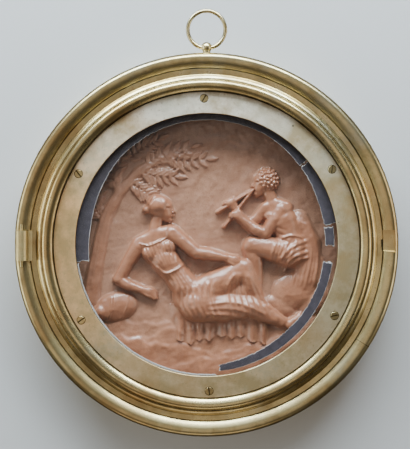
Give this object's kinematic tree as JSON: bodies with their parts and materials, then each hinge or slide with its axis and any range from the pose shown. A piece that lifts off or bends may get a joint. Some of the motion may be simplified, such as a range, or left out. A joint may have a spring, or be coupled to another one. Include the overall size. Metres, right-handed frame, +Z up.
{
  "type": "relief plaque",
  "caption": "Round terracotta relief in a turned brass case with a hinged, glazed bezel and a hanging ring.",
  "frame": {"origin": "centre of the case's flat back, where it lies against the wall", "axes": "+Y into the wall, so that the relief faces -Y; +Z up, toward the hanging ring; +X to the viewer's right"},
  "size_m": [0.34, 0.0426, 0.3787],
  "materials": {
    "case_brass": "turned brass, mellowed, fine lathe lines",
    "bezel_brass": "turned brass, mellowed, fine lathe lines",
    "flat_ring_brass": "turned brass, satin, dulled in patches",
    "screw_brass": "brass, dark in the slot",
    "fittings_brass": "brass, worn smooth",
    "terracotta": "fired clay with a waxed satin surface",
    "pane_glass": "clear, flat",
    "tape_paper": "dark gummed paper with pale torn edges"
  },
  "bodies": {
    "case": {"case_shell": "case_brass", "relief_disc": "terracotta", "hinge_pin": "fittings_brass"},
    "bezel": {"bezel_ring": "bezel_brass", "flat_ring": "flat_ring_brass", "glass_pane": "pane_glass", "hinge_barrel": "fittings_brass", "tape_strip_top": "tape_paper", "tape_strip_right": "tape_paper", "tape_strip_scrap": "tape_paper", "tape_strip_bottom": "tape_paper", "screw_1": "screw_brass", "screw_2": "screw_brass", "screw_3": "screw_brass", "screw_4": "screw_brass", "screw_5": "screw_brass", "screw_6": "screw_brass"},
    "ring": {"hanging_ring": "fittings_brass"}
  },
  "joints": [
    {"name": "bezel_hinge", "type": "hinge", "parent": "case", "child": "bezel", "pos_m": [-0.1628, -0.037, -0.0008], "axis": [0, 0, -1], "range_deg": [0, 110]},
    {"name": "ring_swing", "type": "hinge", "parent": "case", "child": "ring", "pos_m": [0, -0.031, 0.174], "axis": [1, 0, 0], "range_deg": [-90, 90]}
  ]
}
